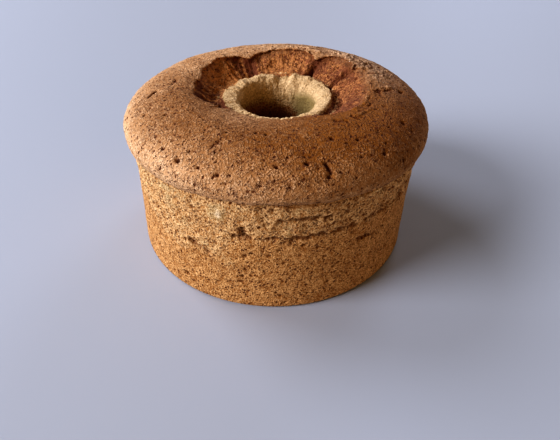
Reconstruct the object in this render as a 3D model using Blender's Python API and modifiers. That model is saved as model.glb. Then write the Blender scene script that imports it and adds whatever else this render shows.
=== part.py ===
"""Chiffon cake: a tall ring of sponge that rose above its tube pan, turned out whole.

Metres, +Z up. The cake stands on the flat that the pan's bottom gave it, and the origin is on that
flat, below the middle of the cake. It is one solid: a body turned from the cake's cross-section,
which is then moved by angle, because the real cake rose unevenly and burst round its tube.
"""
import math

import bmesh
import bpy

# Driving dimensions, in metres. The pan is a 17 cm tube pan.
BASE_RADIUS = 0.0838        # wall at the pan's bottom
WAIST_RADIUS = 0.0807       # wall where the sponge drew in as it cooled
WAIST_HEIGHT = 0.050
CREASE_HEIGHT = 0.0655      # the pan's rim, where the wall meets the risen top
CREASE_DROP = 0.004         # how much lower the crease runs at the back
CREASE_DEPTH = 0.0009
WIDEST_RADIUS = 0.0833      # bulge of the top over the pan's rim
WIDEST_HEIGHT = 0.0712
CREST_RADIUS = 0.050        # highest ring of the top
CREST_HEIGHT = 0.0891
CREST_TILT = 0.0014         # the top stands higher towards TILT_TURN
TILT_TURN = math.radians(40)
TOP_RADIUS = 0.056          # inside it the rows of the surface follow the burst's edge
FRONT_SAG = 0.0022          # the unburst front stands lower, and its crest lies further out
FRONT_CREST_SHIFT = 0.004
LEAN = 0.0012               # sideways shift of the risen part, towards +X
TUBE_FOOT_RADIUS = 0.0230   # the tube pan's tube tapers upwards
TUBE_TOP_RADIUS = 0.0205
TUBE_TOP_HEIGHT = 0.072     # where the tube's print ends and the torn collar flares out
COLLAR_RADIUS = 0.0280      # top of the torn collar round the hole
COLLAR_HEIGHT = 0.0815
COLLAR_FOOT_RADIUS = 0.0312
RIM_RADIUS = 0.0246         # the hole's edge where the crust reaches it whole
RIM_HEIGHT = 0.0784
MEAN_LIP_RADIUS = 0.046     # where the turned body has the crust's broken edge round the burst
CRUST_EDGE = 0.0017         # height of that edge
EDGE_ROUND = 0.0014         # rounding of the base's two edges
FISSURE_HEIGHT = 0.0474     # long wrinkle round the right half of the wall
FISSURE_DEPTH = 0.0014
SEGMENTS = 84

# The burst round the tube, by angle in degrees from +X towards +Y: how far out the crust broke, how
# low the crumb lies at the collar's foot, and how the slope between them runs (1 is straight, more is
# a hollow with a steep wall, less is a swollen lobe). The crust is whole before BURST_START and after
# BURST_END, at the front.
#   angle: (lip radius, foot height, slope)
BURST = {
    -52: (0.033, 0.0810, 1.0),
    -40: (0.045, 0.0785, 0.8),
    -14: (0.0445, 0.0785, 0.7),
    14: (0.051, 0.0790, 0.7),
    25: (0.047, 0.0775, 1.0),
    42: (0.050, 0.0800, 0.7),
    57: (0.043, 0.0770, 1.2),
    75: (0.050, 0.0800, 1.0),
    98: (0.049, 0.0800, 1.1),
    113: (0.044, 0.0785, 1.6),
    135: (0.049, 0.0770, 3.2),
    180: (0.0455, 0.0765, 3.4),
    212: (0.043, 0.0770, 3.0),
    224: (0.035, 0.0800, 1.2),
}
BURST_START, BURST_END = -58, 229

CRUST_BROWN = (0.33, 0.155, 0.062, 1.0)


def blend(start, end, share):
    """Ease from start to end as share goes from 0 to 1."""
    share = min(max(share, 0.0), 1.0)
    return start + (end - start) * share * share * (3 - 2 * share)


def frontness(angle):
    """1 at the front of the cake (-Y), 0 at the back."""
    return ((1 - math.sin(angle)) / 2) ** 2


def crest(angle):
    """Radius and height of the top's highest ring."""
    front = frontness(angle)
    height = CREST_HEIGHT + CREST_TILT * math.cos(angle - TILT_TURN) - FRONT_SAG * front
    return CREST_RADIUS + FRONT_CREST_SHIFT * front, height


def burst_turn(angle):
    """The angle in degrees, counted so that it rises all along the burst."""
    turn = math.degrees(angle) % 360
    return turn - 360 if turn > BURST_END else turn


def burst_shape(angle):
    """Lip radius, foot height and slope of the burst at this angle."""
    turn = burst_turn(angle)
    marks = sorted(BURST)
    if turn <= marks[0] or turn >= marks[-1]:
        return BURST[marks[0] if turn <= marks[0] else marks[-1]]
    after = next(mark for mark in marks if mark > turn)
    before = marks[marks.index(after) - 1]
    share = (turn - before) / (after - before)
    return tuple(blend(a, b, share) for a, b in zip(BURST[before], BURST[after]))


def burst_opening(angle):
    """1 where the crust has burst, easing to 0 where it is whole."""
    turn = burst_turn(angle)
    return blend(0, 1, min(turn - BURST_START, BURST_END - turn) / 8)


def crust_height(radius, angle):
    """Height of the unbroken crust, from the collar over the crest to the widest part."""
    crest_radius, crest_height = crest(angle)
    if radius > crest_radius:
        outward = (radius - crest_radius) / (WIDEST_RADIUS - crest_radius)
        return WIDEST_HEIGHT + (crest_height - WIDEST_HEIGHT) * math.sqrt(max(1 - outward ** 2, 0))
    inward = (crest_radius - radius) / (crest_radius - RIM_RADIUS)
    return crest_height - (crest_height - RIM_HEIGHT) * inward ** 1.35


def collar(angle):
    """Radius and height of the hole's edge: a torn collar, or the crust's own rim at the front."""
    opening = burst_opening(angle)
    return blend(RIM_RADIUS, COLLAR_RADIUS, opening), blend(RIM_HEIGHT, COLLAR_HEIGHT, opening)


def top_height(radius, angle):
    """Height of the top inside the crest: crust, burst slope or torn collar."""
    lip_radius, foot_height, slope = burst_shape(angle)
    opening = burst_opening(angle)
    foot_height = blend(crust_height(COLLAR_FOOT_RADIUS, angle), foot_height, opening)
    collar_radius, collar_top = collar(angle)
    if radius < collar_radius:
        inward = (collar_radius - radius) / (collar_radius - TUBE_TOP_RADIUS)
        return TUBE_TOP_HEIGHT + (collar_top - TUBE_TOP_HEIGHT) * math.sqrt(max(1 - inward ** 2, 0))
    if radius < COLLAR_FOOT_RADIUS:
        share = (radius - collar_radius) / (COLLAR_FOOT_RADIUS - collar_radius)
        return blend(collar_top, foot_height, share)
    whole = crust_height(radius, angle)
    if radius >= lip_radius:
        return whole
    share = (radius - COLLAR_FOOT_RADIUS) / (lip_radius - COLLAR_FOOT_RADIUS)
    climb = crust_height(lip_radius, angle) - CRUST_EDGE - foot_height
    burst = foot_height + climb * share ** slope
    return blend(whole, burst, opening)


def wall_radius(height):
    """Outer radius of the wall, from the table up to the crease."""
    below_waist = max(1 - height / WAIST_HEIGHT, 0)
    return WAIST_RADIUS + (BASE_RADIUS - WAIST_RADIUS) * below_waist ** 1.5


def arc(count, first=0.0, last=math.pi / 2):
    """Angles at even steps from first to last, without first itself."""
    return [first + (last - first) * step / count for step in range(1, count + 1)]


def cross_section():
    """The closed outline that is turned: down the outside, in below, up the tube, out over the top."""
    dome_reach = WIDEST_RADIUS - CREST_RADIUS
    first_turn = math.asin((TOP_RADIUS - CREST_RADIUS) / dome_reach)
    outline = [(CREST_RADIUS + dome_reach * math.sin(turn),
                WIDEST_HEIGHT + (CREST_HEIGHT - WIDEST_HEIGHT) * math.cos(turn))
               for turn in arc(11, first_turn)]
    overhang = WIDEST_RADIUS - WAIST_RADIUS
    under = WIDEST_HEIGHT - CREASE_HEIGHT - 0.0008
    outline += [(WIDEST_RADIUS - overhang * (1 - math.cos(turn)), WIDEST_HEIGHT - under * math.sin(turn))
                for turn in arc(5)]
    outline += [(WAIST_RADIUS - CREASE_DEPTH, CREASE_HEIGHT)]
    wall_heights = (0.0645, 0.061, 0.056, 0.0515, 0.0492, FISSURE_HEIGHT, 0.0456, 0.042, 0.036, 0.029,
                    0.022, 0.015, 0.008)
    outline += [(wall_radius(height), height) for height in wall_heights]
    outline += [(wall_radius(0) - EDGE_ROUND * (1 - math.cos(turn)), EDGE_ROUND * (1 - math.sin(turn)))
                for turn in [0] + arc(2)]
    outline += [(TUBE_FOOT_RADIUS + EDGE_ROUND * (1 - math.sin(turn)), EDGE_ROUND * (1 - math.cos(turn)))
                for turn in [0] + arc(2)]
    tube_rows = 6
    for row in range(1, tube_rows + 1):
        height = EDGE_ROUND + (TUBE_TOP_HEIGHT - EDGE_ROUND) * row / tube_rows
        taper = (TUBE_TOP_RADIUS - TUBE_FOOT_RADIUS) * row / tube_rows
        outline.append((TUBE_FOOT_RADIUS + taper, height))
    top_radii = (0.0208, 0.0218, 0.0235, 0.0257, COLLAR_RADIUS, 0.0296, COLLAR_FOOT_RADIUS, 0.0345,
                 0.038, 0.0415, 0.044, 0.0457, MEAN_LIP_RADIUS, 0.0475, 0.051, TOP_RADIUS)
    outline += [(radius, COLLAR_HEIGHT) for radius in top_radii]
    return outline


def warp_radius(radius, angle):
    """Move the turned rows of the top so that they follow the collar and the crust's broken edge."""
    before = (TUBE_TOP_RADIUS, COLLAR_RADIUS, COLLAR_FOOT_RADIUS, MEAN_LIP_RADIUS, TOP_RADIUS)
    after = (TUBE_TOP_RADIUS, collar(angle)[0], COLLAR_FOOT_RADIUS, burst_shape(angle)[0], TOP_RADIUS)
    for index in range(4):
        if before[index] <= radius <= before[index + 1]:
            share = (radius - before[index]) / (before[index + 1] - before[index])
            return after[index] + (after[index + 1] - after[index]) * share
    return radius


def moved(radius, angle, height):
    """Where a point of the turned body lies on the cake as it rose, burst and drew in."""
    if height > WIDEST_HEIGHT + 1e-6 and radius > TUBE_TOP_RADIUS + 1e-6:
        radius = warp_radius(radius, angle)
        return radius, top_height(radius, angle)
    if radius < WAIST_RADIUS - 2 * CREASE_DEPTH:
        return radius, height
    if abs(height - FISSURE_HEIGHT) < 1e-6:
        turn = math.degrees(angle)
        radius -= FISSURE_DEPTH * blend(0, 1, (turn + 97) / 12) * blend(1, 0, (turn + 25) / 12)
    near_crease = math.exp(-((height - CREASE_HEIGHT) / 0.012) ** 2)
    return radius, height - CREASE_DROP * (1 + math.sin(angle)) / 2 * near_crease


def turned_body():
    """Mesh of the cross-section turned once about Z by a Screw modifier."""
    outline = bmesh.new()
    corners = [outline.verts.new((radius, 0, height)) for radius, height in cross_section()]
    for index, corner in enumerate(corners):
        outline.edges.new((corners[index - 1], corner))
    mesh = bpy.data.meshes.new("cross_section")
    outline.to_mesh(mesh)
    outline.free()
    turned = bpy.data.objects.new("turned_body", mesh)
    bpy.context.scene.collection.objects.link(turned)
    screw = turned.modifiers.new("turn", "SCREW")
    screw.steps = screw.render_steps = SEGMENTS
    screw.merge_threshold = 0.0001
    bpy.context.view_layer.update()
    body = bpy.data.meshes.new_from_object(turned.evaluated_get(bpy.context.evaluated_depsgraph_get()))
    bpy.data.objects.remove(turned)
    return body


def lean(height):
    """Sideways shift of the risen part."""
    return LEAN * blend(0, 1, height / WIDEST_HEIGHT)


def chiffon_cake():
    """The whole cake as one object, centred on the origin."""
    mesh = turned_body()
    for vertex in mesh.vertices:
        x, y, z = vertex.co
        angle = math.atan2(y, x)
        radius, height = moved(math.hypot(x, y), angle, z)
        vertex.co = (radius * math.cos(angle) + lean(height), radius * math.sin(angle), height)
    for axis in (0, 1):
        reach = [vertex.co[axis] for vertex in mesh.vertices]
        middle = (min(reach) + max(reach)) / 2
        for vertex in mesh.vertices:
            vertex.co[axis] -= middle
    mesh.name = "chiffon_cake"
    mesh.shade_smooth()
    mesh.set_sharp_from_angle(angle=math.radians(50))
    return bpy.data.objects.new("chiffon_cake", mesh)


def baked_crust():
    """Browned sponge skin: matt and porous."""
    material = bpy.data.materials.new("baked_crust")
    material.use_nodes = True
    shader = material.node_tree.nodes["Principled BSDF"]
    shader.inputs["Base Color"].default_value = CRUST_BROWN
    shader.inputs["Roughness"].default_value = 0.85
    shader.inputs["Metallic"].default_value = 0.0
    return material


for leftover in list(bpy.data.objects):
    bpy.data.objects.remove(leftover)
collection = bpy.data.collections.new("chiffon_cake")
bpy.context.scene.collection.children.link(collection)
cake = chiffon_cake()
cake.data.materials.append(baked_crust())
collection.objects.link(cake)
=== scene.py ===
import math
import random

import bmesh
import bpy
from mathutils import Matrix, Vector, kdtree, noise


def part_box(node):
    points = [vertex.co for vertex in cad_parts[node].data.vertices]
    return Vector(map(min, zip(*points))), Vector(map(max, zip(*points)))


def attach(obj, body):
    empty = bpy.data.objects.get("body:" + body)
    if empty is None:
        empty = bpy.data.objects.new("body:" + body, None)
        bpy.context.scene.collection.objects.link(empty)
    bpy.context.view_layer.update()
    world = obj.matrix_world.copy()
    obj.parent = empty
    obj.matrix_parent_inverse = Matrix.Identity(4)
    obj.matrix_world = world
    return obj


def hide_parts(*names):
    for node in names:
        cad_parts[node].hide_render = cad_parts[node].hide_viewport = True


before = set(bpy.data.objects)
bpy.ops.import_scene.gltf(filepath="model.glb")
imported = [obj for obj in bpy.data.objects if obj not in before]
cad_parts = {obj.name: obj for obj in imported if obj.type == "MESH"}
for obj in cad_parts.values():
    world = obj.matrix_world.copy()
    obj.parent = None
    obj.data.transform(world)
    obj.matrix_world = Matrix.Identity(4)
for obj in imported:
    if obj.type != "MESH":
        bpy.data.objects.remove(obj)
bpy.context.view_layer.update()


# The cake: a whole chiffon sponge baked in an ungreased 17 cm tube pan. It rose over the pan's rim,
# drew in at the waist as it cooled, and its crust burst round the tube. Lengths are in millimetres,
# angles in degrees from +X towards +Y; the cake's front is at -90.
SEGMENTS = 400
BASE_RADIUS = 83.8
WAIST_RADIUS, WAIST_HEIGHT = 80.7, 50.0
CREASE_HEIGHT, CREASE_DROP, CREASE_DEPTH = 65.5, 4.0, 0.8
CREASE_HALF, CREASE_REACH = 0.8, 12.0
WALL_TOP = CREASE_HEIGHT - 1
WIDEST_RADIUS, WIDEST_HEIGHT = 83.3, 71.2
CREST_RADIUS, CREST_HEIGHT = 50.0, 89.1
FRONT_SAG, FRONT_CREST_SHIFT = 2.2, 4.0
CREST_TILT, TILT_TURN = 1.4, 40.0
LEAN = 1.2
TOP_RADIUS = 56.0
TUBE_FOOT_RADIUS, TUBE_TOP_RADIUS, TUBE_TOP_HEIGHT = 23.0, 20.5, 72.0
COLLAR_FOOT_RADIUS = 32.2
TUBE_PRINT_TOP, TUBE_TEAR_HEIGHT = 61.0, 19.0
RIM_RADIUS, RIM_HEIGHT = 24.6, 78.4
CLOSED_LIP_RADIUS = 46.0
EDGE_ROUND = 1.4

# Torn collar round the hole by angle: radius and height of its top, and how square its shoulder is
# towards the hole. At the front it is only the crust's own rim.
COLLAR = {
    -90: (RIM_RADIUS, RIM_HEIGHT, 2.6), -56: (25.4, 78.8, 2.4), -40: (28.6, 80.0, 2.0),
    -12: (29.8, 81.0, 2.0), 20: (30.2, 81.8, 2.0), 45: (29.4, 82.2, 2.0), 66: (27.8, 82.4, 2.2),
    78: (26.0, 80.2, 2.2), 86: (25.0, 79.0, 2.2), 97: (26.2, 81.6, 2.2), 108: (26.8, 82.2, 2.4),
    128: (27.2, 81.8, 3.0), 150: (26.8, 81.0, 3.6), 178: (28.8, 80.6, 4.2),
    205: (28.8, 80.0, 4.2), 222: (27.0, 79.2, 3.6), 238: (25.0, 78.6, 3.0),
    270: (RIM_RADIUS, RIM_HEIGHT, 2.6),
}

# The burst by angle: lip radius, height at the collar's foot, slope, how dark it is (partly its own
# baking, partly painted shade in the cave at the left and on the shaded right), and how sharp the
# crust's broken edge is. Slope 1 is straight, more is a hollow with a steep wall, less is a swollen
# lobe. Narrow dips between lobes are cracks.
BURST = {
    -56: (34.0, 81.0, 1.0, 0.45, 0.2), -48: (43.0, 79.4, 0.7, 0.60, 0.4),
    -34: (50.0, 77.6, 0.5, 0.75, 0.2), -14: (50.0, 77.4, 0.45, 0.65, 0.08),
    6: (50.8, 78.0, 0.5, 0.60, 0.05), 19: (50.8, 79.0, 0.6, 0.60, 0.15),
    24: (47.0, 76.8, 1.4, 0.90, 0.6), 29: (49.6, 80.0, 0.65, 0.65, 0.4),
    40: (51.6, 80.6, 0.65, 0.55, 0.3), 52: (47.4, 79.5, 0.9, 0.70, 0.6),
    57: (43.0, 75.0, 2.2, 1.00, 1.0), 61: (46.0, 80.0, 1.1, 0.50, 0.6),
    76: (49.8, 80.3, 0.9, 0.40, 0.5), 89: (48.2, 80.3, 0.9, 0.35, 0.4),
    102: (46.6, 80.3, 0.9, 0.40, 0.5), 109: (45.0, 80.2, 0.9, 0.45, 0.6),
    114: (42.8, 78.0, 2.2, 1.00, 1.0), 122: (46.4, 78.0, 1.9, 0.40, 0.85),
    135: (49.2, 78.0, 1.9, -0.05, 0.65), 154: (47.2, 78.0, 2.0, 0.12, 0.7),
    168: (44.5, 77.8, 2.2, 0.35, 0.85), 184: (44.2, 77.6, 2.2, 0.60, 1.0),
    196: (44.6, 77.4, 2.2, 0.85, 1.0), 203: (41.6, 77.6, 2.0, 0.95, 0.9),
    209: (37.8, 79.0, 1.5, 0.75, 0.6), 214: (34.0, 80.2, 1.2, 0.60, 0.5),
}
BURST_START, BURST_END, BURST_FADE = -62, 219, 8

# Broken edge of the crust, from under it to its top: (outwards, down) from the lip.
CRUST_EDGE = ((1.0, 2.0), (0.9, 1.5), (0.2, 1.1), (-0.2, 0.6), (0.1, 0.15))


def blend(start, end, share):
    share = min(max(share, 0.0), 1.0)
    return start + (end - start) * share * share * (3 - 2 * share)


def at_angle(table, angle):
    """Values of the table at this angle, eased between its marks."""
    marks = sorted(table)
    turn = (angle - marks[0]) % 360 + marks[0]
    if turn >= marks[-1]:
        return table[marks[-1] if turn < (marks[-1] + marks[0] + 360) / 2 else marks[0]]
    after = next(mark for mark in marks if mark > turn)
    before = marks[marks.index(after) - 1]
    share = (turn - before) / (after - before)
    return tuple(blend(a, b, share) for a, b in zip(table[before], table[after]))


def crest(angle):
    """Radius and height of the top's highest ring: the unburst front stands lower."""
    front = ((1 - math.sin(math.radians(angle))) / 2) ** 2
    tilt = CREST_TILT * math.cos(math.radians(angle - TILT_TURN))
    return CREST_RADIUS + FRONT_CREST_SHIFT * front, CREST_HEIGHT + tilt - FRONT_SAG * front


def crust_height(radius, angle):
    """Height of the unbroken crust, from the hole's rim over the crest to the widest part."""
    crest_radius, crest_height = crest(angle)
    if radius > crest_radius:
        outward = (radius - crest_radius) / (WIDEST_RADIUS - crest_radius)
        return WIDEST_HEIGHT + (crest_height - WIDEST_HEIGHT) * math.sqrt(max(1 - outward ** 2, 0))
    inward = (crest_radius - radius) / (crest_radius - RIM_RADIUS)
    return crest_height - (crest_height - RIM_HEIGHT) * inward ** 1.35


def burst_opening(angle):
    """1 where the crust has burst, easing to 0 where it is whole."""
    turn = (angle - BURST_START) % 360 + BURST_START
    return blend(0, 1, min(turn - BURST_START, BURST_END - turn) / BURST_FADE)


def jag(angle, size, step, seed):
    """Unevenness along a torn edge, in waves step long at the burst's radius."""
    around = CLOSED_LIP_RADIUS / step
    turn = math.radians(angle)
    return size * noise.noise((math.cos(turn) * around, math.sin(turn) * around, seed))


def wall_radius(height):
    below_waist = max(1 - height / WAIST_HEIGHT, 0)
    return WAIST_RADIUS + (BASE_RADIUS - WAIST_RADIUS) * below_waist ** 1.5


def side_place(part, share, angle):
    """(radius, height) of one row of the cross-section, from the dome down and in to the tube."""
    turn = share * math.pi / 2
    if part == "dome":
        radius = TOP_RADIUS + (WIDEST_RADIUS - TOP_RADIUS) * math.sin(turn)
        return radius, crust_height(radius, angle)
    if part == "underside":
        reach = WIDEST_HEIGHT - CREASE_HEIGHT - CREASE_HALF
        inset = (WIDEST_RADIUS - WAIST_RADIUS) * (1 - math.cos(turn))
        return WIDEST_RADIUS - inset, WIDEST_HEIGHT - reach * math.sin(turn)
    if part == "crease":
        groove = CREASE_DEPTH * math.sin(share * math.pi)
        return WAIST_RADIUS - groove, CREASE_HEIGHT + CREASE_HALF * (1 - 2 * share)
    if part == "wall":
        height = WALL_TOP + (EDGE_ROUND - WALL_TOP) * share
        return wall_radius(height), height
    if part == "base edge":
        return BASE_RADIUS - EDGE_ROUND * (1 - math.cos(turn)), EDGE_ROUND * (1 - math.sin(turn))
    if part == "base":
        inner = TUBE_FOOT_RADIUS + EDGE_ROUND
        return BASE_RADIUS - EDGE_ROUND + (inner - BASE_RADIUS + EDGE_ROUND) * share, 0
    height = EDGE_ROUND + (TUBE_TOP_HEIGHT - EDGE_ROUND) * share ** 0.6
    taper = (TUBE_TOP_RADIUS - TUBE_FOOT_RADIUS) * height / TUBE_TOP_HEIGHT
    return TUBE_FOOT_RADIUS + taper, height


def top_place(part, share, angle):
    """(radius, height) of a row of the top that follows the collar and the crust's broken edge."""
    opening = burst_opening(angle)
    collar_radius, collar_height, squareness = at_angle(COLLAR, angle)
    collar_radius += jag(angle, 1.1, 9, 3) + jag(angle, 0.5, 4, 4)
    collar_height += jag(angle, 0.9, 8, 5) + jag(angle, 0.6, 3.2, 6)
    if part == "funnel":
        turn = share * math.pi / 2
        outward = 1 - math.cos(turn) ** (2 / squareness)
        upward = math.sin(turn) ** (2 / squareness)
        return (TUBE_TOP_RADIUS + (collar_radius - TUBE_TOP_RADIUS) * outward,
                TUBE_TOP_HEIGHT + (collar_height - TUBE_TOP_HEIGHT) * upward)
    lip_radius, foot_height, slope, _, edge = at_angle(BURST, angle)
    lip_radius += (jag(angle, 1.2, 7, 1) + jag(angle, 1.4, 2.2, 2)) * (0.4 + 0.6 * edge)
    foot_height = blend(crust_height(COLLAR_FOOT_RADIUS, angle), foot_height, opening)
    if part == "collar":
        radius = collar_radius + (COLLAR_FOOT_RADIUS - collar_radius) * share
        return radius, blend(collar_height, foot_height, share)
    if part == "crust":
        inner = CLOSED_LIP_RADIUS + (lip_radius - CLOSED_LIP_RADIUS) * opening
        radius = inner + 0.4 + (TOP_RADIUS - inner - 0.4) * share
        return radius, crust_height(radius, angle)
    under_out, under_down = CRUST_EDGE[0][0] * edge, CRUST_EDGE[0][1] * edge
    lip_height = crust_height(lip_radius, angle)
    if part == "burst":
        radius = COLLAR_FOOT_RADIUS + (lip_radius + under_out - COLLAR_FOOT_RADIUS) * share
        valley = max(0.45 * (1 - slope), 0)
        rise = max((share - valley) / (1 - valley), 0) ** slope
        height = foot_height + (lip_height - under_down - foot_height) * rise
        height -= (1 + jag(angle, 1.6, 1.9, 7)) * edge * (1 - (2 * share - 1) ** 2)
        whole = COLLAR_FOOT_RADIUS + (CLOSED_LIP_RADIUS - 0.6 - COLLAR_FOOT_RADIUS) * share
    else:
        out, down = CRUST_EDGE[int(share)]
        soft = 0.08 * share * (1 - edge)
        radius, height = lip_radius + out * edge + soft, lip_height - down * edge
        whole = CLOSED_LIP_RADIUS - 0.5 + 0.15 * share
    return (whole + (radius - whole) * opening,
            blend(crust_height(whole, angle), height, opening))


def row_place(part, share, angle):
    if part in ("funnel", "collar", "burst", "edge", "crust"):
        return top_place(part, share, angle)
    return side_place(part, share, angle)


def even(part, count, first=1):
    return [(part, (step + first) / count) for step in range(count)]


rows = even("dome", 38) + even("underside", 8) + even("crease", 5) + even("wall", 62)
rows += even("base edge", 3) + even("base", 2) + even("tube", 12) + even("funnel", 26)
rows += even("collar", 7) + even("burst", 24)
rows += [("edge", step) for step in range(1, len(CRUST_EDGE))]
rows += even("crust", 10, 0) + [("dome", 0)]

sponge = bmesh.new()
row_layer = sponge.verts.layers.float.new("row")
outline = []
for index, (part, share) in enumerate(rows):
    radius, height = row_place(part, share, 100)
    corner = sponge.verts.new((radius, 0, height))
    corner[row_layer] = index
    outline.append(corner)
for index, corner in enumerate(outline):
    sponge.edges.new((outline[index - 1], corner))
bmesh.ops.spin(sponge, geom=sponge.verts[:] + sponge.edges[:], cent=(0, 0, 0), axis=(0, 0, 1),
               angle=math.tau, steps=SEGMENTS, use_merge=True)
bmesh.ops.recalc_face_normals(sponge, faces=sponge.faces)

# What the surface is at each point: pale crumb torn open, sponge of the burst, wall that clung to
# the pan, torn or flaky skin, how dark it is (its own baking, with painted shade on the side turned
# from the window, in the cave and deep in the hole, and painted light under the dome's overhang and
# on raised flakes), and how deep in a pit a point lies.
SURFACES = ("crumb", "burst", "wall", "torn", "dark", "hollow")
crumb_layer, burst_layer, wall_layer, torn_layer, dark_layer, hollow_layer = (
    sponge.verts.layers.float.new(name) for name in SURFACES)
TORN_FOOT = {  # height of the torn band's lower edge by angle
    -180: (44,), -150: (43,), -141: (35,), -131: (29,), -112: (31,), -106: (38,), -99: (45,),
    -82: (45,), -71: (48,), -62: (46,), -50: (47,), -28: (46,), 10: (50,), 45: (44,), 80: (47,),
    120: (41,), 150: (46,), 180: (44,),
}


def lean(height):
    return LEAN * blend(0, 1, height / WIDEST_HEIGHT)


def surface_point(part, share, angle):
    radius, height = row_place(part, share, angle)
    turn = math.radians(angle)
    if part in ("underside", "crease", "wall"):
        near_crease = math.exp(-((height - CREASE_HEIGHT) / CREASE_REACH) ** 2)
        height -= CREASE_DROP * (1 + math.sin(turn)) / 2 * near_crease
    return Vector((radius * math.cos(turn) + lean(height), radius * math.sin(turn), height))


def on_side(angle, height):
    return surface_point("wall", (WALL_TOP - height) / (WALL_TOP - EDGE_ROUND), angle)


BROWNING_AND_SHADE = {  # how dark the dome is by angle: partly its own browning, partly painted shade, darkest on the right, turned from the window, and painted light on the back
    -180: (0.38,), -155: (0.56,), -140: (0.56,), -122: (0.57,), -105: (0.74,), -90: (0.87,),
    -60: (1.08,), -38: (1.15,), -12: (0.95,), 8: (0.62,), 35: (0.42,), 60: (0.25,), 90: (0.08,),
    140: (0.12,), 180: (0.38,),
}
PALE_SPOTS = [  # bites out of the torn band that show the crumb: middle, reach, strength
    (on_side(angle, height), reach, strength)
    for angle, height, reach, strength in (
        (-108, 57.8, 4.2, 1.05), (-106, 30, 8, 0.35), (-113, 36, 6, 0.3), (-128, 57, 9, 0.3),
        (-84, 52, 7, 0.3), (-120, 47, 7, 0.25), (-143, 55, 7, 0.25), (70, 55, 7, 0.5),
        (150, 40, 8, 0.4), (20, 54, 8, 0.3))]
EDGE_BURST = (1, 1, 0.9, 0.5, 0)  # how much each row of the crust's broken edge is burst sponge
TURN_FROM_WINDOW = -15  # the side turned from the window: the hole's wall there faces the light and is painted paler, and the outer wall there gets a little painted shade
for vertex in sponge.verts:
    part, share = rows[int(round(vertex[row_layer]))]
    angle = math.degrees(math.atan2(vertex.co.y, vertex.co.x))
    vertex.co = surface_point(part, share, angle)
    opening = burst_opening(angle)
    vertex[dark_layer] = at_angle(BROWNING_AND_SHADE, angle)[0]
    # The underside of the overhang takes the torn wall's colours and is lighter towards the crease:
    # partly the wall's own colour, partly painted light where the dome shades it.
    if part == "underside":
        vertex[wall_layer] = share ** 0.8
        vertex[torn_layer] = share
        vertex[dark_layer] -= 0.2 * share
    facing = math.cos(math.radians(angle - TURN_FROM_WINDOW))
    if part in ("tube", "funnel"):
        vertex[wall_layer] = 1
        level = (vertex.co.z - TUBE_PRINT_TOP) / TUBE_TEAR_HEIGHT
        # Paler on the side facing the window and at the back: partly pale torn crumb, partly painted
        # light.
        paler = (0.8 if facing > 0 else 0.1) * facing * (1 - level)
        paler += 0.2 * max(math.sin(math.radians(angle)), 0)
        vertex[crumb_layer] = blend(0, 1, level + paler)
        # Darker deep in the hole: the brown where the tube held the sponge, with painted shade higher
        # up on the left wall, which is turned from the window, and low on the right wall, which faces
        # it.
        painted_deep_shade = 0.9 * max(facing, 0) ** 0.6 * min((1 - level) * 2.4, 1)
        clung_and_shaded = 0.95 * (1 - blend(0, 1, (level + 0.4 + 0.3 * facing) / 0.9))
        vertex[dark_layer] = max(clung_and_shaded, painted_deep_shade)
    if part == "collar":
        vertex[crumb_layer] = opening * (1 - share) ** 1.2 + (1 - opening) * (1 - share) ** 9
        left = max(-math.cos(math.radians(angle)), 0)
        vertex[crumb_layer] -= 0.5 * opening * left * (0.3 + share)
    if part in ("burst", "edge", "collar"):
        vertex[burst_layer] = opening * (EDGE_BURST[int(share)] if part == "edge" else 1)
        baked_and_shade, edge = at_angle(BURST, angle)[3:]
        if part == "burst":
            streaks = jag(angle, 1, 3, 11) + noise.noise(vertex.co / 2.4)
            # Darker just under the crust's broken lip: partly darker fibres, partly painted shadow of
            # the crust above it. The streaks are the sponge's own.
            baked_and_shade += 0.6 * edge * share ** 4 + 1.8 * max(edge - 0.5, 0) * streaks
        vertex[dark_layer] += (baked_and_shade - vertex[dark_layer]) * vertex[burst_layer]
        if part == "burst":
            flecks = 0.5 - 2.5 * share + 0.6 * noise.noise(vertex.co / 2.2)
            vertex[crumb_layer] = opening * max(0, flecks)
            vertex[burst_layer] *= 1 - (1 - edge) * blend(0, 1, (share - 0.7) / 0.3)
    if part in ("wall", "crease", "base edge", "base"):
        vertex[wall_layer] = 1
        foot = at_angle(TORN_FOOT, angle)[0]
        above_foot = vertex.co.z - foot + 5 * noise.noise(vertex.co / 9)
        vertex[torn_layer] = blend(0, 1, above_foot / 5 + 0.5)
        # Painted shade: the torn band is a little darker on the side turned from the window.
        vertex[dark_layer] = 0.13 * max(facing, 0) * vertex[torn_layer]
        if part == "wall":
            bitten = max(strength * math.exp(-((vertex.co - middle).length / reach) ** 2)
                         for middle, reach, strength in PALE_SPOTS)
            vertex[crumb_layer] = bitten * (1 + 0.9 * noise.noise(vertex.co / 2.5))
            vertex[crumb_layer] += 0.25 * vertex[torn_layer] * (0.5 + noise.noise(vertex.co / 8))
            # Paler crumb colour just under the crease: partly a pale strip of crumb, partly painted
            # light where the dome's overhang shades the wall.
            under_crust = max(1 - share / 0.08, 0)
            vertex[crumb_layer] += 0.5 * under_crust * (0.6 + noise.noise(vertex.co / 6))

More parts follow.
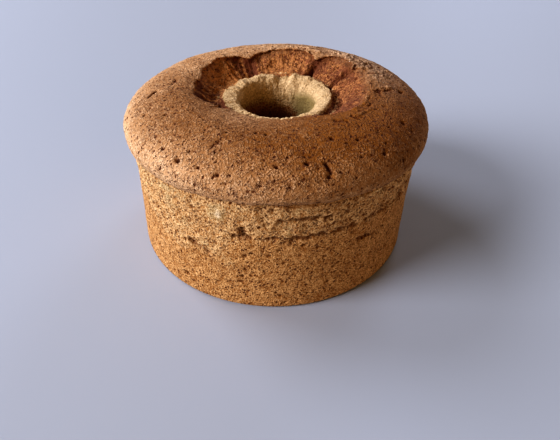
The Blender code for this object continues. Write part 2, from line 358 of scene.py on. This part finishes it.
# Pits and cracks, where bubbles broke and the skin tore. The large ones are given by angle, and by
# radius on the top or height on the side. The rest are scattered.
TOP_PITS = (  # (angle, radius, width)
    (-153, 72.3, 1.3), (-146, 64.1, 1.1), (-122, 78.7, 1.6), (-114, 78.7, 1.1), (-107, 79.6, 1.2),
    (-130, 77.1, 0.9), (-133, 79.5, 0.8), (-129, 72, 1.0), (-120, 73.6, 0.9), (-112, 57.2, 1.0),
    (-99, 54, 1.1), (-94, 54.4, 0.9), (-89, 74.6, 1.2), (-79, 73.7, 1.4), (-73, 79.7, 1.3),
    (-66, 62.5, 1.6), (-57, 67.6, 1.2), (-51, 77.7, 1.3), (-44, 82.2, 1.4), (-32, 72.2, 1.6),
    (-7, 66.4, 1.6), (-10, 59.3, 1.2), (40, 66, 1.4), (95, 70, 1.3), (128, 62, 1.5),
    (150, 74, 1.2))
SIDE_PITS = (  # (angle, height, width)
    (-120, 35.6, 1.5), (-118, 34.0, 1.6), (-113, 31.7, 1.6), (-123, 9.6, 1.8), (-145, 9.9, 1.1),
    (-137, 46.7, 1.2), (-129, 51, 1.1), (-100, 51, 1.6), (-100, 48.7, 1.9), (-99, 34.5, 1.2),
    (-99, 25.9, 1.0), (-100, 20.7, 1.2), (-100, 16.8, 1.1), (-88, 10.8, 1.0), (60, 22, 1.5),
    (150, 30, 1.6))
TOP_CRACKS = (
    ((177, 55), (-178, 56.4), (-173, 58)), ((-112, 60), (-112, 63), (-113, 66.3), (-113, 70)),
    ((33, 57.5), (37, 60)), ((24, 60), (28, 62)), ((10, 54.5), (10, 58), (7, 61)),
    ((-13, 52), (-9, 61)), ((-35, 48), (-28, 50), (-22, 49)), ((-40, 52), (-30, 54)),
    ((-12, 53), (-20, 57)), ((46, 51), (39, 53.3), (33, 57.7)), ((26, 54.7), (21, 56)),
    ((70, 58), (62, 63)), ((120, 57), (113, 61)))
SIDE_CRACKS = (
    ((-103, 46), (-90, 46.3), (-82, 45.8), (-74, 47.2), (-67, 46.9), (-60, 47.6), (-51, 48.5),
     (-42, 48.1), (-30, 48.2), (-16, 50)),
    ((-69, 52.7), (-66, 56.4), (-64, 58.8), (-62, 60.5), (-58, 62.2)),
    ((-53, 50), (-46, 51.5), (-37, 50), (-30, 53), (-22, 57)),
    ((-88, 57.2), (-81, 57.3), (-76, 57.8), (-71, 57.1)),
    ((-68, 36.7), (-63, 37.5), (-56, 36.4), (-49, 35.1)), ((-69, 23.2), (-65, 25.5)),
    ((-140, 38.8), (-138, 32.6)), ((-120, 35.8), (-118, 34.1), (-112, 31.5)),
    ((-100, 52), (-99, 48)), ((40, 43), (62, 45), (80, 47), (96, 44)), ((118, 40), (140, 43)),
    ((150, 52), (168, 50), (-178, 53)))
TOP_SLITS = (
    ((12, 52), (10, 54.5), (10, 57.4)), ((36, 58.3), (31, 59.2)), ((22, 52), (22, 56)),
    ((24, 62), (20, 64)), ((22, 47.6), (26, 50.8)), ((-15, 53.3), (-12, 56.7), (-10, 60)),
    ((-8, 66.2), (-6, 67.4)), ((63, 45.5), (66, 48.5)), ((-56, 50.5), (-52, 54.9)),
    ((-47, 53), (-46, 57)), ((-171, 64.5), (-169, 66.5), (-167, 68.5)), ((-73, 74.5), (-72, 79)))
TOP_FOLDS = (  # raised flaky folds of crust along the burst
    ((21, 48.5), (19, 51.3), (19, 56.4)), ((7, 51), (7, 56), (7, 62)),
    ((49, 52.3), (44, 56.5), (36, 51.7)), ((27, 54), (27, 60)), ((-9, 54), (-7, 60)),
    ((16, 62), (17, 68)), ((60, 50), (72, 52.5), (84, 52.5)), ((-38, 49), (-30, 51), (-20, 50)),
    ((-44, 54), (-34, 55)), ((42, 56), (52, 54)))
TOP_SCATTER, SIDE_SCATTER = 300, 420  # small pits on the top and on the side
CRACK_STEP, CRACK_RADIUS = 0.5, 80.0
hollows = []  # (middle, width, depth)
noise.seed_set(8)  # keeps the cracks the same at every run


def crack(points, place, width, sink=1, crooked=1):
    """Hollows along a crooked line between the points, deeper here and shallower there."""
    for first, last in zip(points, points[1:]):
        turned = (last[0] - first[0] + 180) % 360 - 180
        along = math.radians(abs(turned)) * CRACK_RADIUS + abs(last[1] - first[1])
        steps = max(2, int(along / CRACK_STEP))
        for step in range(steps):
            share = step / steps
            middle = place(first[0] + turned * share, first[1] + (last[1] - first[1]) * share)
            wander = noise.noise_vector(middle / 4) * 1.1 + noise.noise_vector(middle / 1.2) * 0.9
            fade = 0.9 * noise.noise(middle / 3.5) + 0.6 * noise.noise(middle / 1.3) - 0.3
            wander, fade = crooked * wander, 0.9 + crooked * fade
            if fade > 0.4:
                hollows.append((middle + wander, width * fade, sink * width * fade))


def on_top(angle, radius):
    turn = math.radians(angle)
    height = crust_height(radius, angle)
    return Vector((radius * math.cos(turn) + lean(height), radius * math.sin(turn), height))


for angle, radius, width in TOP_PITS:
    hollows.append((on_top(angle, radius), 0.95 * width, 1.1 * width))
for angle, height, width in SIDE_PITS:
    hollows.append((on_side(angle, height), width, width))
for points in TOP_CRACKS:
    crack(points, on_top, 0.95)
for points in TOP_SLITS:
    crack(points, on_top, 1.25, 1.5, 0.3)
for points in SIDE_CRACKS:
    crack(points, on_side, 1.6)
for points in TOP_FOLDS:
    crack(points, on_top, 1.7, -0.6, 0.6)
scatter = random.Random(17)
for _ in range(TOP_SCATTER):
    angle, radius = scatter.uniform(-180, 180), math.sqrt(scatter.uniform(50 ** 2, 82.5 ** 2))
    width = scatter.uniform(0.4, 0.8)
    hollows.append((on_top(angle, radius), width, width))
for _ in range(SIDE_SCATTER):
    angle = scatter.uniform(-180, 180)
    height = CREASE_HEIGHT - 62 * scatter.random() ** 1.7
    width = scatter.uniform(0.5, 1.15)
    hollows.append((on_side(angle, height), width, width))

WIDEST_HOLLOW = 2.5
hollow_tree = kdtree.KDTree(len(hollows))
for index, (middle, _, _) in enumerate(hollows):
    hollow_tree.insert(middle, index)
hollow_tree.balance()


def hollow_depth(point):
    """How far the point sinks into the deepest pit or crack near it, or rises on a fold of crust
    (less than 0), and how near it is to the pit's or crack's middle."""
    depth, lift, share = 0, 0, 0
    for _, index, distance in hollow_tree.find_range(point, WIDEST_HOLLOW):
        _, width, sink = hollows[index]
        inside = max(1 - (distance / width) ** 2, 0)
        depth, lift = max(depth, inside * sink), min(lift, inside * sink)
        if sink > 0:
            share = max(share, inside)
    return depth + lift, share


# Finer faces round the pits and cracks.
fine = [edge for edge in sponge.edges
        if any(distance < hollows[index][1] + 0.3 for _, index, distance in
               hollow_tree.find_range((edge.verts[0].co + edge.verts[1].co) / 2, 2))]
bmesh.ops.subdivide_edges(sponge, edges=fine, cuts=1, use_grid_fill=True)
sponge.normal_update()

GRAIN = {  # unevenness by kind of surface, from coarse to fine: (wave length, height)
    "crust": ((26, 0.45), (9, 0.25), (3.4, 0.25), (1.8, 0.2)),
    "burst": ((7, 1.3), (3.2, 0.75), (1.7, 0.45), (0.9, 0.25)),
    "crumb": ((6, 0.6), (2.4, 0.4), (1.4, 0.2)),
    "skin": ((18, 0.35), (5, 0.2), (2.2, 0.2)),
    "torn": ((9, 0.5), (3.6, 0.7), (1.9, 0.6)),
}


def relief(kind, point):
    return sum(height * noise.noise(point / step) for step, height in GRAIN[kind])


FLAKY_TURN, FLAKY_RADIUS = 24, 56  # where the top crust broke into flakes beside the burst
FLAKY_SPREAD, FLAKY_WIDTH = 38, 6
TORN_SINK = 0.25
moves = []
for vertex in sponge.verts:
    point = vertex.co
    crumb, burst = vertex[crumb_layer], vertex[burst_layer]
    wall, torn = vertex[wall_layer], vertex[torn_layer]
    rise = 0
    if wall < 1 and crumb < 1:
        whole = (1 - wall) * (1 - burst)
        rise += relief("crust", point) * whole * (1 - crumb)
        turn = math.degrees(math.atan2(point.y, point.x)) - FLAKY_TURN
        outward = point.xy.length - FLAKY_RADIUS
        flaky = math.exp(-(turn / FLAKY_SPREAD) ** 2 - (outward / FLAKY_WIDTH) ** 2) * whole
        flakes = 1.2 * noise.noise(point / 2.6) + 1.0 * noise.noise(point / 1.4)
        rise += flaky * flakes
        # Raised flakes are painted lighter and sunken ones darker: painted highlight and shade on the
        # flakes.
        vertex[dark_layer] -= 0.5 * flaky * flakes
        around_flakes = math.exp(-(turn / 40) ** 2 - ((outward - 4) / 11) ** 2)
        vertex[torn_layer] = max(torn, around_flakes)
    if burst > 0:
        rise += relief("burst", point) * burst * (1 - crumb)
    if crumb > 0:
        rise += relief("crumb", point) * min(crumb, 1)
    if wall > 0:
        rough = relief("torn", point) - TORN_SINK
        rise += wall * ((1 - torn) * relief("skin", point) + torn * rough)
    depth, share = hollow_depth(point)
    vertex[hollow_layer] = share
    # Raised folds of crust are painted lighter: a painted highlight on their edges.
    if wall < 1:
        vertex[dark_layer] += 0.5 * min(depth, 0)
    moves.append(vertex.normal * (rise - depth) * blend(0, 1, (point.z - 0.5) / 3))
for vertex, move in zip(sponge.verts, moves):
    vertex.co += move
    vertex.co.z = max(vertex.co.z, 0)

bmesh.ops.scale(sponge, vec=(0.001, 0.001, 0.001), verts=sponge.verts)
low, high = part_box("chiffon_cake")
reach = [[pick(v.co[axis] for v in sponge.verts) for pick in (min, max)] for axis in (0, 1)]
to_middle = Vector([(low[axis] + high[axis] - sum(reach[axis])) / 2 for axis in (0, 1)] + [0])
bmesh.ops.translate(sponge, vec=to_middle, verts=sponge.verts)
cake_mesh = bpy.data.meshes.new("cake")
sponge.to_mesh(cake_mesh)
sponge.free()
cake_mesh.shade_smooth()
cake = bpy.data.objects.new("cake", cake_mesh)
bpy.context.scene.collection.objects.link(cake)

# Baked sponge: a porous skin that browned on top, golden where the pan held it, dark and reddish
# where it burst late, and pale cream where it was torn open after baking. Its colours also carry
# painted shade on the side turned from the window, in the burst's cave and deep in the hole, and
# painted light under the dome's overhang and on raised flakes and folds.
CRUST_LIGHT, CRUST_GOLDEN = (0.96, 0.635, 0.355, 1), (0.66, 0.36, 0.16, 1)
CRUST_DARK = (0.25, 0.088, 0.011, 1)
FLAKE_LIGHT, FLAKE_DARK = (0.66, 0.43, 0.25, 1), (0.35, 0.185, 0.08, 1)
SKIN_LIGHT, SKIN_DARK = (0.84, 0.47, 0.185, 1), (0.34, 0.125, 0.022, 1)
TORN_LIGHT, TORN_DARK = (0.98, 0.625, 0.288, 1), (0.44, 0.18, 0.04, 1)
BURST_LIGHT, BURST_DARK = (0.70, 0.315, 0.10, 1), (0.20, 0.064, 0.025, 1)
CRUMB_LIGHT, CRUMB_DARK = (0.82, 0.545, 0.26, 1), (0.46, 0.26, 0.09, 1)
PORE_DARK, TUBE_BROWN_AND_SHADE = (0.13, 0.033, 0.007, 1), (0.12, 0.009, 0.004, 1)
CRUMB_PALE, CRUMB_IN_SHADE = (0.93, 0.67, 0.38, 1), (0.29, 0.195, 0.066, 1)

material = bpy.data.materials.new("baked_sponge")
material.use_nodes = True
tree = material.node_tree
shader = tree.nodes["Principled BSDF"]


def node(kind, inputs=None, **settings):
    """A shader node with its settings, and its inputs as values or as other nodes' outputs."""
    made = tree.nodes.new("ShaderNode" + kind)
    for name, value in settings.items():
        setattr(made, name, value)
    for key, value in (inputs or {}).items():
        if isinstance(value, bpy.types.NodeSocket):
            tree.links.new(value, made.inputs[key])
        else:
            made.inputs[key].default_value = value
    return made


def math_of(operation, first, second=0.0):
    return node("Math", {0: first, 1: second}, operation=operation).outputs[0]


def eased(value, start, end, low=0.0, high=1.0):
    """low where value is at start, high where it is at end, eased between."""
    inputs = {"Value": value, "From Min": start, "From Max": end, "To Min": low, "To Max": high}
    return node("MapRange", inputs, interpolation_type="SMOOTHSTEP").outputs[0]


def tint(share, first, second):
    """The first colour where share is 0, the second where it is 1."""
    return node("Mix", {0: share, 6: first, 7: second}, data_type="RGBA").outputs[2]


def weighed(*shares):
    """Sum of values, each by its own weight."""
    total = None
    for value, weight in shares:
        value = value if weight == 1 else math_of("MULTIPLY", value, weight)
        total = value if total is None else math_of("ADD", total, value)
    return total


crumb, burst, wall, torn, dark, hollow = (
    node("Attribute", attribute_name=name).outputs["Fac"] for name in SURFACES)
place = node("TexCoord").outputs["Object"]
place = node("VectorMath", {0: place, "Scale": 1000.0}, operation="SCALE").outputs[0]
split = node("SeparateXYZ", {0: place})
flat = node("CombineXYZ", {0: split.outputs[0], 1: split.outputs[1]}).outputs[0]
radius = node("VectorMath", {0: flat}, operation="LENGTH").outputs["Value"]
heading = node("VectorMath", {0: flat}, operation="NORMALIZE").outputs[0]


def ring_place(around, along, stretch):
    """Coordinates round the cake and along its cross-section, stretched along it."""
    turned = node("VectorMath", {0: heading, "Scale": around}, operation="SCALE").outputs[0]
    parts = node("SeparateXYZ", {0: turned})
    return node("CombineXYZ", {0: parts.outputs[0], 1: parts.outputs[1],
                               2: math_of("MULTIPLY", along, 1 / stretch)}).outputs[0]


outer_place = ring_place(68.0, math_of("SUBTRACT", radius, split.outputs[2]), 1.25)
inner_place = ring_place(42.0, math_of("ADD", radius, split.outputs[2]), 2.4)


def waves(step, detail, rough=0.6, at=place):
    """Noise whose largest wave is step millimetres long."""
    inputs = {"Vector": at, "Scale": 1 / step, "Detail": detail, "Roughness": rough}
    return node("TexNoise", inputs).outputs[0]


def cells_of(step, bend):
    """Cells about step millimetres across, with bent edges."""
    bent = {0: waves(step, 1), "Scale": bend * step}
    bent = node("VectorMath", bent, operation="SCALE").outputs[0]
    bent = node("VectorMath", {0: place, 1: bent}, operation="ADD").outputs[0]
    return node("TexVoronoi", {"Vector": bent, "Scale": 1 / step})


def grains(step):
    """Rounded grains about step millimetres across, 1 in their middles and 0 between them."""
    return eased(cells_of(step, 0.6).outputs["Distance"], 0.15, 0.65, 1, 0)


def pores(step, small, large, present):
    """Dots about step millimetres apart, small to large in radius, in a share of the places."""
    cells = cells_of(step, 0.9)
    chance = node("SeparateColor", {0: cells.outputs["Color"]})
    size = eased(chance.outputs[0], 0, 1, small / step, large / step)
    inside = math_of("SUBTRACT", size, cells.outputs["Distance"])
    here = math_of("LESS_THAN", chance.outputs[1], present)
    return math_of("MULTIPLY", eased(inside, 0.0, 0.4 * large / step), here)


tone, mottle, grain = waves(24, 3), waves(3.4, 4, 0.7), waves(0.85, 2, 0.6)
wrinkle, fibre = waves(0.8, 2, 0.6, outer_place), waves(1.0, 3, 0.65, inner_place)
wrinkle = weighed((wrinkle, 0.7), (grains(1.25), 0.28))
rough_share = math_of("MAXIMUM", torn, crumb)
skin_pores = math_of("MULTIPLY", pores(1.25, 0.22, 0.55, 0.85), 0.85)
torn_pores = pores(1.55, 0.3, 0.8, 0.85)
torn_pores = math_of("MULTIPLY", torn_pores, math_of("MULTIPLY", rough_share, 0.75))
fine_pores = math_of("MAXIMUM", skin_pores, torn_pores)
crazed = math_of("ABSOLUTE", math_of("SUBTRACT", waves(8, 4), 0.5))
crazed = math_of("MULTIPLY", eased(crazed, 0.0, 0.02, 0.7, 0), eased(waves(13, 1), 0.48, 0.6))
crazed = math_of("MULTIPLY", crazed, math_of("SUBTRACT", 1.0, math_of("MAXIMUM", wall, burst)))
fine_pores = math_of("MAXIMUM", fine_pores, crazed)
wide_pores = pores(2.1, 0.3, 0.82, 0.66)
pore = math_of("MAXIMUM", fine_pores, wide_pores)

crust_patch = weighed((wrinkle, 0.6), (mottle, 0.4))
patch = weighed((grain, 0.6), (mottle, 0.4))
fibre_patch = weighed((fibre, 0.6), (patch, 0.4))
crust_patch, patch, fibre_patch = (
    eased(value, 0.32, 0.68) for value in (crust_patch, patch, fibre_patch))
# How dark the crust is: its own browning and tone, darker towards the top, and the dark attribute,
# which carries painted shade on the side turned from the window.
crown = eased(split.outputs[2], 74.0, 90.0)
browned_and_shaded = weighed((crust_patch, -0.44), (tone, 0.5), (crown, 0.5), (dark, 0.72))
colour = tint(eased(browned_and_shaded, -0.06, 0.86), CRUST_LIGHT, CRUST_GOLDEN)
browned_and_shaded = eased(browned_and_shaded, 0.41, 1.34)
colour = tint(torn, tint(browned_and_shaded, colour, CRUST_DARK), tint(browned_and_shaded, FLAKE_LIGHT, FLAKE_DARK))
skin_colour = tint(torn, tint(patch, SKIN_DARK, SKIN_LIGHT), tint(patch, TORN_DARK, TORN_LIGHT))
# inside: the tube's brown where the pan held it, with painted shade deep in the hole and on the wall
# and underside turned from the window.
inside = math_of("MULTIPLY", dark, wall)
colour = tint(wall, colour, tint(inside, skin_colour, TUBE_BROWN_AND_SHADE))
burnt = weighed((dark, 1), (fibre_patch, -0.62), (mottle, -0.8))
colour = tint(burst, colour, tint(eased(burnt, -0.75, 0.2), BURST_LIGHT, BURST_DARK))
crumb_edge = eased(weighed((crumb, 1), (patch, 0.3)), 0.45, 0.75)
crumb_colour = tint(eased(crumb, 0.85, 1.35), tint(patch, CRUMB_DARK, CRUMB_LIGHT), CRUMB_PALE)
# Painted shade: the crumb is greyer and darker deep in the hole.
crumb_colour = tint(eased(inside, 0.1, 0.6), crumb_colour, CRUMB_IN_SHADE)
colour = tint(crumb_edge, colour, crumb_colour)
shade = math_of("MULTIPLY", pore, eased(crumb, 0, 1, 0.9, 0.2))
colour = tint(shade, colour, PORE_DARK)
shade = math_of("MULTIPLY", eased(hollow, 0, 0.8), eased(wall, 0, 1, 0.92, 0.6))
colour = tint(shade, colour, PORE_DARK)
tree.links.new(colour, shader.inputs["Base Color"])

relief_share = tint(wall, crust_patch, patch)
raised = math_of("MULTIPLY", relief_share, eased(wall, 0, 1, 0.62, 0.42))
raised = math_of("SUBTRACT", raised, math_of("MULTIPLY", pore, eased(crumb, 0, 1, 0.45, 0.25)))
bump = node("Bump", {"Height": raised, "Distance": 0.001, "Strength": 1.0})
tree.links.new(bump.outputs[0], shader.inputs["Normal"])
shader.inputs["Roughness"].default_value = 0.8
shader.inputs["Specular IOR Level"].default_value = 0.08
shader.inputs["Sheen Weight"].default_value = 0.02
shader.inputs["Sheen Roughness"].default_value = 0.5
cake.data.materials.append(material)
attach(cake, "root")
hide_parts("chiffon_cake")


# Floor: a plain pale sheet that the cake stands on. It is one wide disc whose rim sweeps up all
# round below the lights, so that it has no edge in sight.
FLOOR_LEVEL = -0.0003
FLOOR_SWEEP = (  # (radius, height) of the disc, from its middle to its rim, in metres
    (0, FLOOR_LEVEL), (3.6, FLOOR_LEVEL), (4.1, 0.05), (4.45, 0.22), (4.6, 0.5), (4.65, 0.85))
floor_form = bmesh.new()
sweep = [floor_form.verts.new((radius, 0, height)) for radius, height in FLOOR_SWEEP]
for first, last in zip(sweep, sweep[1:]):
    floor_form.edges.new((first, last))
bmesh.ops.spin(floor_form, geom=floor_form.verts[:] + floor_form.edges[:], cent=(0, 0, 0),
               axis=(0, 0, 1), angle=math.tau, steps=96, use_merge=True)
bmesh.ops.remove_doubles(floor_form, verts=floor_form.verts, dist=0.0001)
bmesh.ops.recalc_face_normals(floor_form, faces=floor_form.faces)
floor_mesh = bpy.data.meshes.new("floor")
floor_form.to_mesh(floor_mesh)
floor_form.free()
floor_mesh.shade_smooth()
floor = bpy.data.objects.new("floor", floor_mesh)
bpy.context.scene.collection.objects.link(floor)
paper = bpy.data.materials.new("pale_floor")
paper.use_nodes = True
paper_shader = paper.node_tree.nodes["Principled BSDF"]
paper_shader.inputs["Base Color"].default_value = (0.42, 0.42, 0.42, 1)
paper_shader.inputs["Roughness"].default_value = 0.7
floor.data.materials.append(paper)


# Light: a large soft window at the left, cool as daylight, a small one far behind, a weak warm fill
# from the room at the right, and a dim warm surround that is itself seen as a pale backdrop.
AIM = Vector((0, 0, 0.05))


def soft_light(name, place, size, power, colour):
    data = bpy.data.lights.new(name, "AREA")
    data.shape, data.size, data.energy, data.color = "DISK", size, power, colour
    light = bpy.data.objects.new(name, data)
    light.location = place
    light.rotation_euler = (AIM - Vector(place)).to_track_quat("-Z", "Y").to_euler()
    bpy.context.scene.collection.objects.link(light)


soft_light("window", (-7.2, -2.2, 3.8), 4.4, 730.0, (0.92, 1.0, 1.26))
soft_light("sky", (-5.4, 3.6, 5.0), 4.4, 290.0, (0.90, 1.0, 1.30))
soft_light("far window", (3.2, 7.0, 3.4), 4.0, 130.0, (0.82, 0.95, 1.30))
soft_light("room", (2.4, -3.2, 1.8), 3.0, 19.0, (1.0, 0.68, 0.32))
surround = bpy.data.worlds.new("surround")
surround.use_nodes = True
world_tree = surround.node_tree
glow = world_tree.nodes["Background"]
glow.inputs["Color"].default_value = (1.0, 0.80, 0.56, 1)
glow.inputs["Strength"].default_value = 0.11
backdrop = world_tree.nodes.new("ShaderNodeBackground")
backdrop.inputs["Color"].default_value = (0.36, 0.39, 0.49, 1)
rays = world_tree.nodes.new("ShaderNodeLightPath")
both = world_tree.nodes.new("ShaderNodeMixShader")
world_tree.links.new(rays.outputs["Is Camera Ray"], both.inputs[0])
world_tree.links.new(glow.outputs[0], both.inputs[1])
world_tree.links.new(backdrop.outputs[0], both.inputs[2])
world_tree.links.new(both.outputs[0], world_tree.nodes["World Output"].inputs["Surface"])
bpy.context.scene.world = surround
bpy.context.scene.view_settings.view_transform = "Standard"
bpy.context.scene.view_settings.look = "High Contrast"


# Camera: close above the front of the cake, about 21 cm from its middle, looking down at it at 41
# degrees through a wide lens.
camera_data = bpy.data.cameras.new("camera")
camera_data.sensor_width = 36.0
camera_data.lens = 25.7
camera_data.clip_start = 0.01
camera = bpy.data.objects.new("camera", camera_data)
camera.location = (0.0037, -0.2137, 0.1727)
camera.rotation_mode = "ZYX"
camera.rotation_euler = (math.radians(90 - 40.68), 0, math.radians(1.06))
bpy.context.scene.collection.objects.link(camera)
bpy.context.scene.camera = camera
